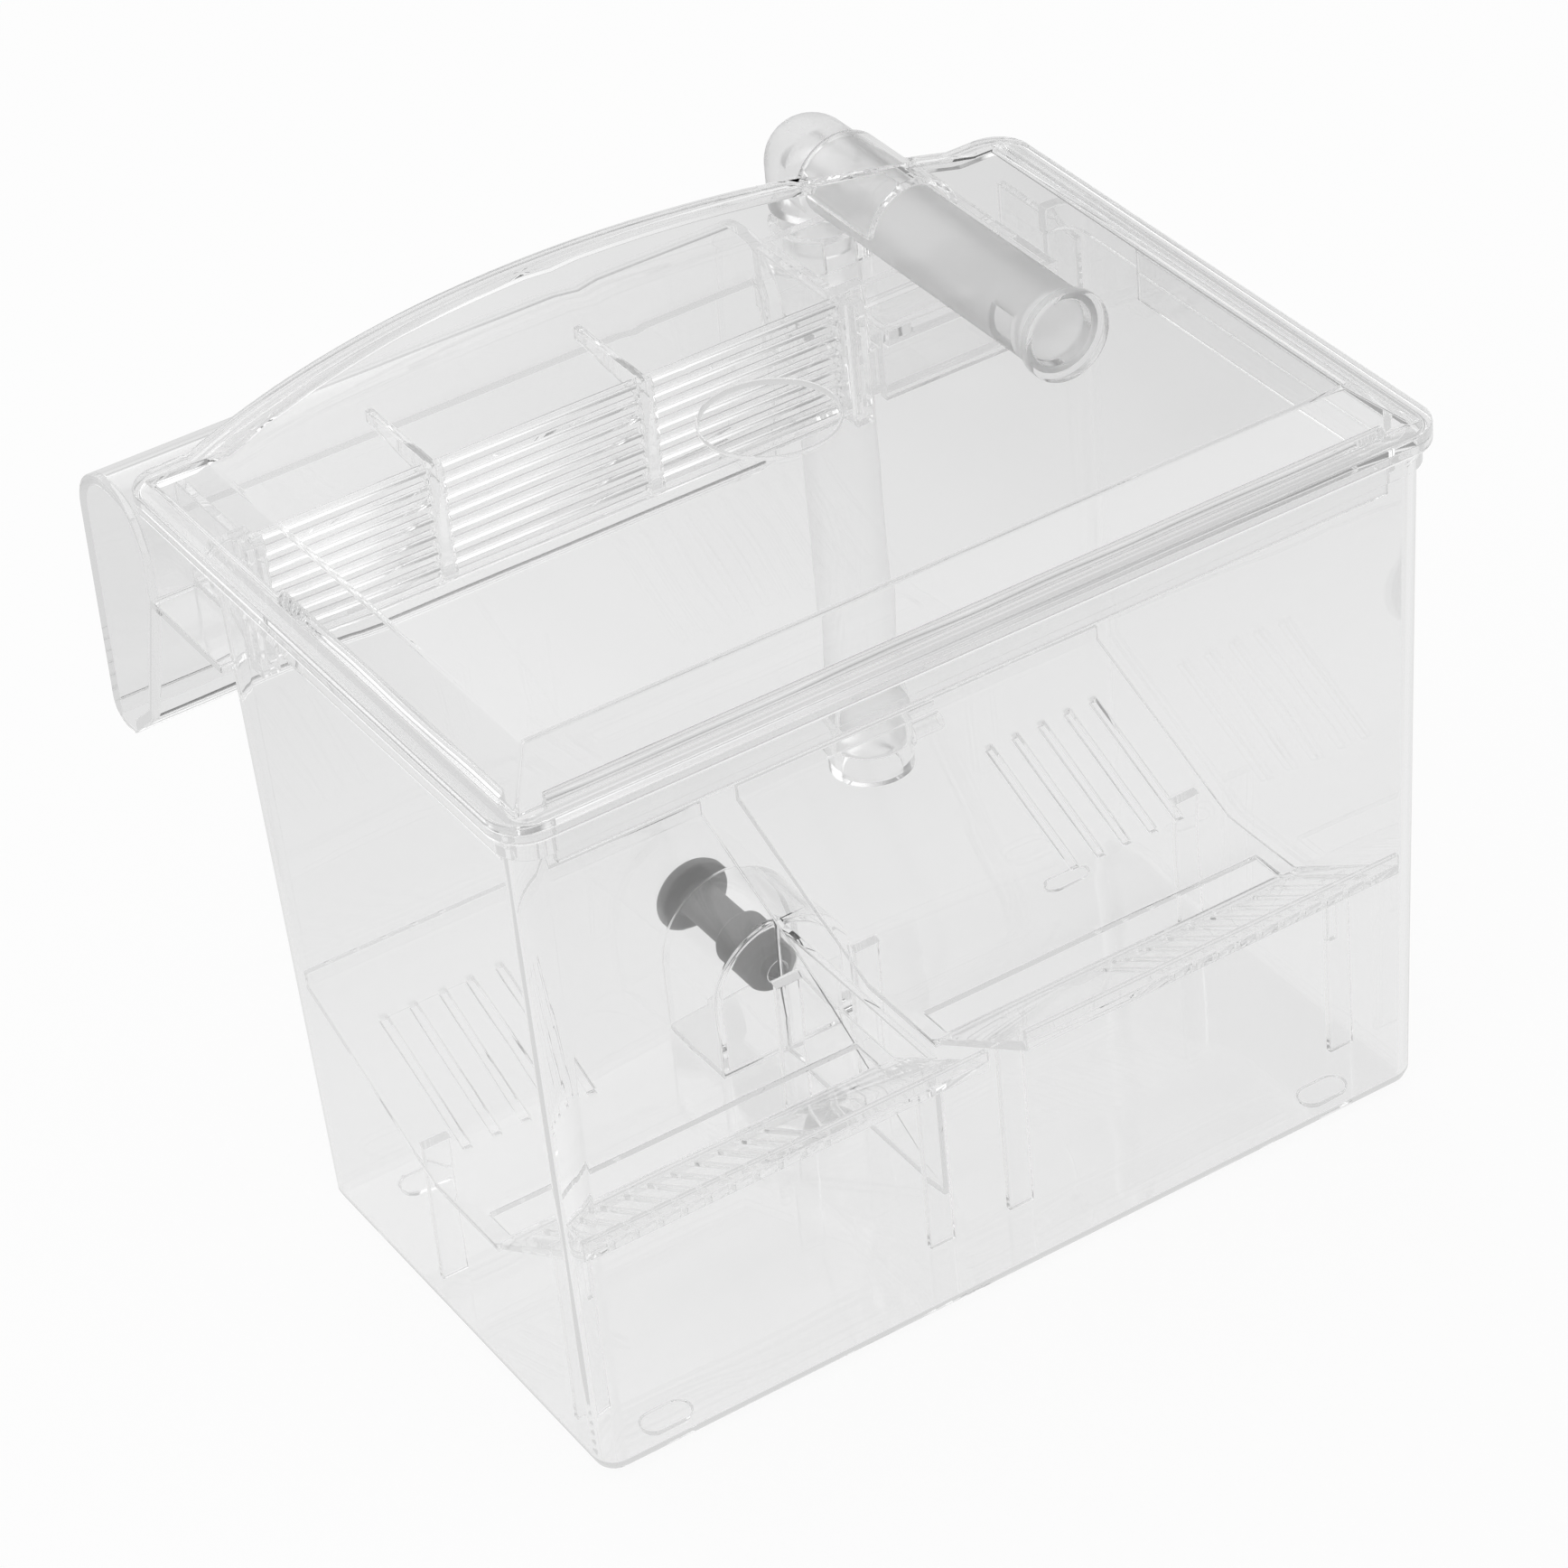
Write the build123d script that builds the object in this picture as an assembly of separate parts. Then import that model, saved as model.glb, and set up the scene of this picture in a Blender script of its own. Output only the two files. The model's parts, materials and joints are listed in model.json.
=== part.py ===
from build123d import *
from math import cos, radians, sin
import os

# Hang-on fish breeding box in clear moulded plastic, in millimetres.
# Drawn with the lid's front edge at Y 0 and the underside of the tub at Z 0, the tank side
# towards +Y. Each piece is then moved so that the origin is the centre of the footprint, on
# the surface that the feet stand on.

# ---- tub -------------------------------------------------------------------------------
tub_height = 156.0          # underside of the floor to the top of the rim
tub_top_width = 199.6
tub_top_depth = 116.0
tub_base_width = 193.6
tub_base_depth = 108.4
tub_top_corner = 6.0
tub_base_corner = 5.0
tub_bottom_radius = 3.0
tub_bottom_steps = 2        # flats that the rounding is made of
tub_wall = 2.0
tub_floor = 2.2
rim_band_height = 6.5      # thicker band round the outside, under the lid
rim_band_step = 1.0
foot_length = 11.0
foot_width = 6.0
foot_height = 1.5
foot_spacing_x = 157.2      # centre to centre
foot_spacing_y = 89.8

# ---- lid -------------------------------------------------------------------------------
lid_skirt = 1.4             # wall that hangs down outside the rim band
lid_skirt_clearance = 0.3
lid_skirt_drop = 1.7        # below the top of the rim
lid_flange = 2.7            # thickness of the flat flange on the rim
lid_flange_width = 4.0
lid_corner = 8.0
lid_panel_rise = 6.8        # top of the panel above the top of the flange
lid_panel_inset_side = 12.4
lid_panel_inset_front = 14.4
lid_skin = 1.6
lid_straight_depth = 146.2  # front edge to the straight stretches of the rear edge
lid_straight_end = 14.9     # straight stretch of the rear edge at each side
lid_arc_rise = 20.7         # how far the bow stands past the straight ends
lid_hole_diameter = 26.7
lid_hole_setback = 75.0     # front edge to the hole's centre
lid_rib = 1.8               # ribs that locate the lid inside the tub
lid_rib_height = 11.0
lid_rib_clearance = 0.6
lid_side_rib_length = 80.0
lid_tunnel_wall = 1.7
lid_tunnel_clearance = 0.9
lid_tunnel_reach = 13.2     # tunnel's end past the straight stretches of the rear edge

# ---- overflow hanger ---------------------------------------------------------------------
hanger_seat_drop = 27.0     # top of the rim to the underside that sits on the tank's rim
hanger_deck = 2.0
hanger_gap = 26.3           # room for the tank's wall behind the tub, at the seat
hanger_wall = 2.2
channel_gap = 2.35          # hood's right-hand end to the cradle
hood_depth = 29.2           # from the tank's wall to the hood's rear face
hood_height = 22.0          # seat to the hood's roof
hood_drop = 41.0            # seat to the hood's lower edge
hood_lean = 10.4            # how far the inner wall leans back over its main height
hood_lean_drop = 32.0
hood_tip_setback = 10.2
hood_rear_lean = 2.2        # rear face, from its lower edge to the roof
hood_roof_radius = 12.0
hood_heel_radius = 5.0
hood_mouth_height = 14.0    # opening that lets the water in, above the deck
cheek_drop = 2.0            # top of the rim to the top edge of the channel's end walls
dry_cheek_drop = 9.0        # the same, on the dry side
hook_drop = 24.0            # length of the hook plate on the dry side, below the seat

# ---- drain screen --------------------------------------------------------------------------
sill_drop = 24.5            # top of the rim to the notch's lower edge, the water level
notch_margin = 11.8         # hanger's left end to the notch
notch_end_margin = 5.9      # notch to the hood's right-hand end
screen_post = 3.0
screen_mid_post = 3.6
screen_mid_posts = 2
screen_mid_pitch = 47.0     # from the right-hand end and from each other
screen_slats = 8
screen_slat = 1.3
screen_depth = 2.6
screen_rise = 0.5           # screen's top above the top of the rim
screen_fin_length = 24.0
screen_fin_height = 6.0
screen_fin = 1.8
screen_overlap = 2.0        # screen past each side of the notch
guide_wall = 1.8
guide_clearance = 0.3
ledge_height = 2.0

# ---- air lift -----------------------------------------------------------------------------
pipe_diameter = 17.4
pipe_bore = 14.2
pipe_inset = 30.8           # hanger's right-hand end to the pipe's axis
pipe_drop = 3.2             # top of the rim to the pipe's axis
pipe_end_y = 80.8
riser_diameter = 16.5
riser_bore = 13.5
riser_foot_height = 8.0     # open lower end above the tub's underside
elbow_radius = 10.0
elbow_rear_y = 179.8        # rearmost point of the whole part
elbow_collar = 10.1         # from the bend's centre to the face that each tube meets
elbow_spigot = 9.0          # length pushed into each tube
elbow_spigot_wall = 1.5
fit_gap = 0.05              # radial clearance of every push or turning fit
cap_thickness = 3.0
cap_lip = 1.1
cap_plug = 4.0
port_length = 7.0
port_height = 8.0
port_setback = 5.0
collar_wall = 1.4
collar_length = 17.0
collar_grip = 10.0          # length of the collar that holds the riser
nipple_diameter = 4.5
nipple_length = 8.0         # past its shoulder
nipple_shoulder = 6.5
nipple_shoulder_rise = 0.5  # past the collar
nipple_bore = 2.6

# ---- cradle under the outlet pipe ------------------------------------------------------------
cradle_wall = 2.4
cradle_width = 42.5
cradle_side_height = 15.0
cradle_clearance = 0.25
cradle_setback = 14.5       # box's front wall to the hook's seat edge
cradle_riser_gap = 2.1
cradle_rail_height = 5.0
cradle_hook_drop = 16.0
cradle_hook = 3.0
pipe_notch_clearance = 0.4
clip_wall = 2.2
clip_height = 8.0
clip_mouth = 11.0

# ---- breeding traps -------------------------------------------------------------------------
trap_skin = 1.6
trap_gap = 8.5              # between the two traps
trap_clearance = 1.2        # to the tub's walls
trap_top = 54.5             # top of the sloping shelves above the tub's underside
trap_floor = 33.9
trap_rear_run = 46.5        # horizontal run of the rear slope
trap_front_run = 35.5
trap_slit = 8.0             # gap in the floor that the fry drop through
trap_lip = 3.0
trap_tie = 4.0              # strip that joins the two shelves at each end of the slit
trap_leg_width = 6.0
trap_leg_inset = 2.2
trap_rear_leg_run = 38.0    # rear leg to the rear lip
trap_front_leg_run = 15.0
slot_width = 1.6
rear_slots = 5
rear_slot_pitch = 6.6
rear_slot_start = 9.8       # outer end of the trap to the first slot
rear_slot_length = 30.0
rear_slot_setback = 4.0     # lower end of the slots to the foot of the slope
front_slots = 10
front_slot_pitch = 5.3
front_slot_start = 6.5
front_slot_length = 24.0
front_slot_setback = 2.5    # upper end of the slots to the front lip
rib_thickness = 1.8
rib_front_y = 36.0
rib_height = 36.0

# ---- levelling pad and its niche --------------------------------------------------------------
niche_width = 33.0
niche_height = 36.0
niche_depth = 22.5
niche_wall = 2.0
pad_height = 21.0           # axis above the tub's underside
peg_diameter = 6.0
peg_length = 12.0
pad_diameter = 17.6
pad_thickness = 3.6
pad_neck = 9.0
pad_neck_length = 18.0
pad_barrel = 13.0
pad_barrel_length = 12.0
pad_free_play = 2.0         # barrel to the niche's front wall, pushed fully home and drawn back

# ---- places worked out from the sizes ----------------------------------------------------------
lid_overhang = lid_skirt_clearance + lid_skirt
tub_centre_y = lid_overhang + rim_band_step + tub_top_depth / 2
lid_half = tub_top_width / 2 + rim_band_step + lid_overhang
hanger_half = tub_top_width / 2 + rim_band_step
seat_z = tub_height - hanger_seat_drop
deck_top = seat_z + hanger_deck


def tub_half_depth(z):
    """Half the tub's outer depth at height z, along the draft."""
    base, top = tub_base_depth / 2, tub_top_depth / 2
    return base + (top - base) * z / tub_height


def tub_half_width(z):
    """Half the tub's outer width at height z, along the draft."""
    base, top = tub_base_width / 2, tub_top_width / 2
    return base + (top - base) * z / tub_height


gap_front_y = tub_centre_y + tub_half_depth(seat_z)
gap_rear_y = gap_front_y + hanger_gap
hood_rear_y = gap_rear_y + hood_depth
lid_rear_y = lid_straight_depth
flange_top = tub_height + lid_flange
panel_top = flange_top + lid_panel_rise
elbow_y = elbow_rear_y - elbow_radius
pipe_x = hanger_half - pipe_inset
pipe_height = tub_height - pipe_drop
channel_end_x = pipe_x - cradle_width / 2 - channel_gap
channel_width = channel_end_x + hanger_half
overall_depth = elbow_rear_y
notch_x = -hanger_half + notch_margin
notch_end_x = channel_end_x - notch_end_margin
sill_height = tub_height - sill_drop
screen_x0 = notch_x - screen_overlap
screen_x1 = notch_end_x + screen_overlap
screen_rear_y = tub_centre_y + tub_half_depth(sill_height) - tub_wall - guide_clearance
screen_low = sill_height - ledge_height
screen_top = tub_height + screen_rise
cradle_top = deck_top + cradle_side_height
rail_low = cradle_top - cradle_rail_height
pipe_rear_y = elbow_y - elbow_collar
riser_top = pipe_height - elbow_collar
niche_front = tub_centre_y + tub_half_depth(0) - niche_depth


def rounded_block(width, depth, radius, z, centre_y=tub_centre_y):
    """Rounded rectangle face at height z."""
    return Pos(0, centre_y, z) * RectangleRounded(width, depth, radius)


def drafted(shrink, z_low, corner_loss):
    """The tub's drafted block, drawn in by shrink on every side, from z_low to the rim."""
    low_width = 2 * (tub_half_width(z_low) - shrink)
    low_depth = 2 * (tub_half_depth(z_low) - shrink)
    low = rounded_block(low_width, low_depth, tub_base_corner - corner_loss, z_low)
    high = rounded_block(tub_top_width - 2 * shrink, tub_top_depth - 2 * shrink,
                         tub_top_corner - corner_loss, tub_height)
    return loft([low, high], ruled=True)


def box_between(x0, x1, y0, y1, z0, z1):
    """Block between two corners."""
    return Pos((x0 + x1) / 2, (y0 + y1) / 2, (z0 + z1) / 2) * Box(x1 - x0, y1 - y0, z1 - z0)


def rod_x(x0, x1, y, z, radius):
    """Cylinder along X from x0 to x1."""
    return Pos((x0 + x1) / 2, y, z) * Rot(0, 90, 0) * Cylinder(radius, x1 - x0)


def rod_y(x, y0, y1, z, radius):
    """Cylinder along Y from y0 to y1."""
    return Pos(x, (y0 + y1) / 2, z) * Rot(90, 0, 0) * Cylinder(radius, y1 - y0)


def rod_z(x, y, z0, z1, radius):
    """Cylinder along Z from z0 to z1."""
    return Pos(x, y, (z0 + z1) / 2) * Cylinder(radius, z1 - z0)


def extrude_x(outline, x0, x1):
    """Prism from x0 to x1 over an outline of (y, z) points."""
    face = make_face(Polyline(*[(0, y, z) for y, z in outline], close=True))
    return Pos(x0, 0, 0) * extrude(face, x1 - x0, dir=(1, 0, 0))


def tub_outside():
    """The tub's outer form with the band round its rim."""
    radius = tub_bottom_radius
    turns = [90 / tub_bottom_steps * i for i in range(tub_bottom_steps + 1)]
    rings = []
    for turn in turns:
        inset = radius * (1 - sin(radians(turn)))
        z = radius * (1 - cos(radians(turn)))
        rings.append(rounded_block(2 * (tub_half_width(radius) - inset),
                                   2 * (tub_half_depth(radius) - inset),
                                   tub_base_corner - inset, z))
    body = loft(rings, ruled=True) + drafted(0, radius, 0)
    band = rounded_block(tub_top_width + 2 * rim_band_step, tub_top_depth + 2 * rim_band_step,
                         tub_top_corner + rim_band_step, tub_height - rim_band_height)
    return body + extrude(band, rim_band_height)


def arch(width, height, y):
    """Arched face, flat at the bottom, that stands on Z 0 and looks along Y."""
    radius = width / 2
    spring = height - radius
    path = Polyline((-radius, y, spring), (-radius, y, 0), (radius, y, 0), (radius, y, spring))
    path += ThreePointArc((radius, y, spring), (0, y, height), (-radius, y, spring))
    return make_face(path)


def make_niche(outside):
    """Arched niche that opens through the rear wall: its shell, and the hollow to cut away."""
    length = niche_depth + tub_wall
    shell = extrude(arch(niche_width, niche_height, niche_front), length, dir=(0, 1, 0)) & outside
    inner = arch(niche_width - 2 * niche_wall, niche_height - niche_wall, niche_front + niche_wall)
    hollow = extrude(inner, niche_depth + 2 * tub_wall, dir=(0, 1, 0))
    above_floor = box_between(-niche_width, niche_width, niche_front,
                              niche_front + niche_depth + 4 * tub_wall, tub_floor, niche_height)
    return shell, hollow & above_floor


def make_guide(side, outside):
    """Channel and ledge that hold one end of the drain screen against the rear wall."""
    end = screen_x0 if side < 0 else screen_x1
    near = end + side * guide_clearance
    far = near + side * guide_wall
    inner = end - side * screen_overlap
    front = screen_rear_y - screen_depth - guide_clearance - guide_wall
    rear = tub_centre_y + tub_top_depth / 2
    low = screen_low - guide_wall
    rail = box_between(min(near, far), max(near, far), front, rear, low, screen_top)
    hook = box_between(min(far, inner), max(far, inner), front, front + guide_wall,
                       low, screen_top)
    ledge = box_between(min(far, inner), max(far, inner), front, rear, low, screen_low)
    return (rail + hook + ledge) & outside


def make_tank_body():
    """Tub: floor, four drafted walls, rim band, feet, niche, spillway notch and screen guides."""
    outside = tub_outside()
    body = outside - drafted(tub_wall, tub_floor, tub_wall)
    shell, hollow = make_niche(outside)
    body = body + shell - hollow
    body += rod_y(0, niche_front + niche_wall / 2, niche_front + niche_wall + peg_length,
                  pad_height, peg_diameter / 2)
    # low rib between the two traps
    body += box_between(-rib_thickness / 2, rib_thickness / 2, rib_front_y,
                        niche_front + niche_wall / 2, tub_floor / 2, rib_height)
    # notch that the water leaves by, and the one that the pipe and its cradle cross
    wall_out = tub_centre_y + tub_top_depth / 2 + 2 * rim_band_step
    wall_in = tub_centre_y + tub_half_depth(0) - 2 * tub_wall
    body -= box_between(notch_x, notch_end_x, wall_in, wall_out, sill_height, tub_height + 1)
    half = cradle_width / 2 + pipe_notch_clearance
    body -= box_between(pipe_x - half, pipe_x + half, wall_in, wall_out,
                        rail_low - pipe_notch_clearance, tub_height + 1)
    for side in (-1, 1):
        body += make_guide(side, outside)
    for sx in (-1, 1):
        for sy in (-1, 1):
            foot = extrude(SlotOverall(foot_length, foot_width), -foot_height)
            body += Pos(sx * foot_spacing_x / 2, tub_centre_y + sy * foot_spacing_y / 2, 0) * foot
    return body


def lid_outline(inset_side, inset_front, inset_rear, corner, z):
    """The lid's plan, drawn in from its outer edge: straight sides and a bowed rear edge.
    With corner 0 its four corners are sharp, as on the bevel."""
    half = lid_half - inset_side
    front, rear = inset_front, lid_rear_y - inset_rear
    shoulder = lid_half - lid_straight_end
    sides = Polyline((-shoulder, rear), (-half, rear), (-half, front), (half, front),
                     (half, rear), (shoulder, rear))
    bow = ThreePointArc((shoulder, rear), (0, rear + lid_arc_rise), (-shoulder, rear))
    face = make_face(sides + bow)
    if corner:
        face = fillet(face.vertices().filter_by(lambda v: abs(abs(v.X) - half) < 0.01), corner)
    return Pos(0, 0, z) * face


def bevelled(inset, run_side, run_front, low, fold, top):
    """Sharp-cornered block over the lid's plan, bevelled from the height fold up to its top."""
    block = extrude(lid_outline(inset, inset, inset, 0, low), top - low)
    for across, run in ((False, run_side), (True, run_front)):
        face = block.faces().sort_by(Axis.Z)[-1]
        edges = face.edges().filter_by(lambda e: (abs((e % 0.5).Y) < 0.5) == across)
        block = chamfer(edges, run, top - fold, reference=face)
    return block


def make_lid():
    """Lid: flange with a skirt, bevelled rise to a flat panel, finger hole and pipe tunnel."""
    lid = extrude(lid_outline(0, 0, 0, lid_corner, tub_height), lid_flange)
    low = tub_height - lid_skirt_drop
    rim = lid_outline(lid_skirt, lid_skirt, lid_skirt, lid_corner - lid_skirt, low)
    lid += extrude(lid_outline(0, 0, 0, lid_corner, low) - rim, lid_skirt_drop)
    edge = lid_flange_width
    lid += bevelled(edge, lid_panel_inset_side - edge, lid_panel_inset_front - edge,
                    tub_height, flange_top, panel_top)
    inner = edge + lid_skin
    slope = lid_skin / 2
    lid -= bevelled(inner, lid_panel_inset_side + slope - inner,
                    lid_panel_inset_front + slope - inner,
                    tub_height - lid_skirt_drop, flange_top - slope, panel_top - lid_skin)
    # locating ribs inside the tub's front and side walls
    rib_out = tub_top_width / 2 - tub_wall - lid_rib_clearance
    rib_front = tub_centre_y - tub_top_depth / 2 + tub_wall + lid_rib_clearance
    rib_low = tub_height - lid_rib_height
    side_front = rib_front + tub_top_corner
    front_end = rib_out - tub_top_corner
    lid += box_between(-front_end, front_end, rib_front, rib_front + lid_rib, rib_low, flange_top)
    for x in (-rib_out, rib_out - lid_rib):
        lid += box_between(x, x + lid_rib, side_front, side_front + lid_side_rib_length,
                           rib_low, flange_top)
    # finger hole over the middle of the lid
    lid -= rod_z(0, lid_hole_setback, tub_height, panel_top + 1, lid_hole_diameter / 2)
    # tunnel over the outlet pipe
    bore = pipe_diameter / 2 + lid_tunnel_clearance
    shell = bore + lid_tunnel_wall
    end = lid_rear_y + lid_tunnel_reach
    start = lid_rear_y - lid_panel_inset_front
    hood = rod_y(pipe_x, start, end, pipe_height, shell)
    keep = box_between(pipe_x - shell, pipe_x + shell, start, end,
                       tub_height - lid_skirt_drop, pipe_height + shell)
    lid += hood & keep
    lid -= rod_y(pipe_x, start - bore, end + 1, pipe_height, bore)
    return lid


def hood_face():
    """Side view of the hood: inner wall leaning back, rounded roof, near-upright rear face."""
    low = seat_z - hood_drop
    roof = seat_z + hood_height
    tip_y = gap_rear_y + hood_lean + hood_tip_setback
    outline = [(gap_rear_y, seat_z), (gap_rear_y + hood_lean, seat_z - hood_lean_drop),
               (tip_y, low), (hood_rear_y, low), (hood_rear_y - hood_rear_lean, roof),
               (gap_rear_y, roof)]
    face = make_face(Polyline(*[(0, y, z) for y, z in outline], close=True))
    upper = face.vertices().filter_by(lambda v: v.Z > roof - 0.01)
    face = fillet(upper, hood_roof_radius)
    heel = face.vertices().filter_by(lambda v: v.Z < low + 0.01).sort_by(Axis.Y)[-1]
    return fillet(heel, hood_heel_radius)


def make_overflow_hanger():
    """Hanger: deck over the tank's rim, end walls, wet hood inside the tank, dry hook plate."""
    face = hood_face()
    inside = channel_width - 2 * hanger_wall
    inner_x0, inner_x1 = -hanger_half + hanger_wall, channel_end_x - hanger_wall
    outer = Pos(-hanger_half, 0, 0) * extrude(face, channel_width, dir=(1, 0, 0))
    core = Pos(inner_x0, 0, 0) * extrude(offset(face, -hanger_wall), inside, dir=(1, 0, 0))
    body = outer - core
    # mouth towards the tub, and the long outlet in the lower edge
    body -= box_between(notch_x, notch_end_x, gap_rear_y - 1, gap_rear_y + 2 * hanger_wall,
                        deck_top, deck_top + hood_mouth_height)
    low = seat_z - hood_drop
    outlet_y = gap_rear_y + hood_lean + hood_tip_setback
    body -= box_between(inner_x0, inner_x1, outlet_y, hood_rear_y - hanger_wall,
                        low - 1, low + hood_heel_radius)
    # deck and end walls
    deck_front = gap_front_y - tub_wall
    deck_rear = gap_rear_y + hanger_wall / 2
    body += box_between(-hanger_half, hanger_half, deck_front, deck_rear, seat_z, deck_top)
    cheek_top = tub_height - cheek_drop
    walls = [(notch_x - hanger_wall, cheek_top), (notch_end_x, cheek_top),
             (hanger_half - hanger_wall, tub_height - dry_cheek_drop)]
    for x, top in walls:
        body += box_between(x, x + hanger_wall, deck_front, deck_rear, seat_z, top)
    # hook plate on the dry side
    low_y = gap_rear_y + hood_lean * hook_drop / hood_lean_drop
    plate = [(gap_rear_y, deck_top), (gap_rear_y, seat_z), (low_y, seat_z - hook_drop),
             (low_y + hanger_wall, seat_z - hook_drop), (gap_rear_y + hanger_wall, seat_z),
             (gap_rear_y + hanger_wall, deck_top)]
    body += extrude_x(plate, channel_end_x - hanger_wall, hanger_half)
    return body - tub_outside()


def make_drain_screen():
    """Comb that keeps the fry in: slats between posts, with fins over the spillway."""
    front = screen_rear_y - screen_depth
    posts = [screen_x0 + screen_post / 2, screen_x1 - screen_post / 2]
    screen = Part()
    for x in posts:
        screen += box_between(x - screen_post / 2, x + screen_post / 2, front, screen_rear_y,
                              screen_low, screen_top)
    pitch = (screen_top - screen_low - screen_slat) / (screen_slats - 1)
    for i in range(screen_slats):
        z = screen_low + pitch * i
        screen += box_between(screen_x0, screen_x1, front, screen_rear_y, z, z + screen_slat)
    for i in range(screen_mid_posts):
        x = screen_x1 - screen_mid_pitch * (i + 1)
        screen += box_between(x - screen_mid_post / 2, x + screen_mid_post / 2, front,
                              screen_rear_y, screen_low, screen_top)
        fin = [(front, screen_top), (screen_rear_y + screen_fin_length, screen_top),
               (screen_rear_y + screen_fin_length, screen_top - screen_fin_height / 2),
               (screen_rear_y, screen_top - screen_fin_height),
               (front, screen_top - screen_fin_height)]
        screen += extrude_x(fin, x - screen_fin / 2, x + screen_fin / 2)
    return screen


def make_riser_tube():
    """Upright tube of the air lift, on the tank side."""
    tube = rod_z(pipe_x, elbow_y, riser_foot_height, riser_top, riser_diameter / 2)
    return tube - rod_z(pipe_x, elbow_y, riser_foot_height - 1, riser_top + 1, riser_bore / 2)


def make_riser_elbow():
    """Short round bend, wider than the tubes, with a spigot for each of them."""
    front, low = elbow_y - elbow_collar, pipe_height - elbow_collar
    level_spigot = pipe_bore / 2 - fit_gap
    upright_spigot = riser_bore / 2 - fit_gap
    waterway = upright_spigot - elbow_spigot_wall
    half_disc = Circle(elbow_radius) & (Pos(0, elbow_radius / 2, 0)
                                        * Rectangle(2 * elbow_radius, elbow_radius))
    corner = revolve(Rot(90, 0, 0) * half_disc, Axis.X, -90)
    elbow = Pos(pipe_x, elbow_y, pipe_height) * corner
    elbow += rod_y(pipe_x, front, elbow_y, pipe_height, elbow_radius)
    elbow += rod_z(pipe_x, elbow_y, low, pipe_height, elbow_radius)
    elbow += rod_y(pipe_x, front - elbow_spigot, elbow_y, pipe_height, level_spigot)
    elbow += rod_z(pipe_x, elbow_y, low - elbow_spigot, pipe_height, upright_spigot)
    elbow -= rod_y(pipe_x, front - elbow_spigot - 1, elbow_y, pipe_height, waterway)
    elbow -= rod_z(pipe_x, elbow_y, low - elbow_spigot - 1, pipe_height, waterway)
    return elbow


def make_outlet_pipe():
    """Level tube that brings the water into the tub, with a port near its closed end."""
    pipe = rod_y(pipe_x, pipe_end_y, pipe_rear_y, pipe_height, pipe_diameter / 2)
    pipe -= rod_y(pipe_x, pipe_end_y - 1, pipe_rear_y + 1, pipe_height, pipe_bore / 2)
    port_y = pipe_end_y + port_setback
    return pipe - box_between(pipe_x - pipe_diameter, pipe_x, port_y, port_y + port_length,
                              pipe_height - port_height / 2, pipe_height + port_height / 2)


def make_outlet_cap():
    """Plug that closes the outlet pipe's end, with a disc that stands out round the pipe."""
    disc = rod_y(pipe_x, pipe_end_y - cap_thickness, pipe_end_y, pipe_height,
                 pipe_diameter / 2 + cap_lip)
    return disc + rod_y(pipe_x, pipe_end_y, pipe_end_y + cap_plug, pipe_height,
                        pipe_bore / 2 - fit_gap)


def make_air_collar():
    """Collar round the riser's open foot, with the nipple for an air hose."""
    inner = riser_diameter / 2 + fit_gap
    outer = inner + collar_wall
    high = riser_foot_height + collar_grip
    low = high - collar_length
    collar = rod_z(pipe_x, elbow_y, low, high, outer)
    # nipple towards the far end of the box
    axis_z = (low + riser_foot_height) / 2
    shoulder_x = pipe_x + outer + nipple_shoulder_rise
    collar += rod_x(pipe_x + inner, shoulder_x, elbow_y, axis_z, nipple_shoulder / 2)
    collar += rod_x(pipe_x + inner, shoulder_x + nipple_length, elbow_y, axis_z,
                    nipple_diameter / 2)
    collar -= rod_z(pipe_x, elbow_y, riser_foot_height, high + 1, inner)
    collar -= rod_z(pipe_x, elbow_y, low - 1, high, riser_bore / 2)
    return collar - rod_x(pipe_x, shoulder_x + nipple_length + 1, elbow_y, axis_z,
                          nipple_bore / 2)


def make_pipe_cradle():
    """Cradle on the dry deck: an open box under the pipe, a hook over the tub's rear wall at
    the front and a spring clip round the riser at the back."""
    x0, x1 = pipe_x - cradle_width / 2, pipe_x + cradle_width / 2
    front = gap_rear_y - cradle_setback
    rear = elbow_y - riser_diameter / 2 - cradle_riser_gap
    hook_y = screen_rear_y - cradle_hook
    cradle = box_between(x0, x1, front, rear, deck_top, deck_top + cradle_wall)
    for y in (front, rear - cradle_wall):
        cradle += box_between(x0, x1, y, y + cradle_wall, deck_top, cradle_top)
    for x in (x0, x1 - cradle_wall):
        cradle += box_between(x, x + cradle_wall, front, rear, deck_top, cradle_top)
        cradle += box_between(x, x + cradle_wall, hook_y, front + cradle_wall,
                              rail_low, cradle_top)
    cradle += box_between(x0, x1, hook_y, hook_y + cradle_wall,
                          cradle_top - cradle_hook_drop, cradle_top)
    grip = pipe_diameter / 2 + cradle_clearance
    cradle -= rod_y(pipe_x, hook_y - 1, rear + 1, pipe_height, grip)
    # spring clip round the riser
    inner = riser_diameter / 2 + fit_gap
    top = deck_top + clip_height
    clip = rod_z(pipe_x, elbow_y, deck_top, top, inner + clip_wall)
    clip += box_between(pipe_x - clip_mouth / 2, pipe_x + clip_mouth / 2, rear - cradle_wall,
                        elbow_y, deck_top, top)
    clip -= rod_z(pipe_x, elbow_y, deck_top - 1, top + 1, inner)
    clip -= box_between(pipe_x - clip_mouth / 2, pipe_x + clip_mouth / 2, elbow_y,
                        elbow_y + 2 * inner, deck_top - 1, top + 1)
    return cradle + clip


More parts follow.
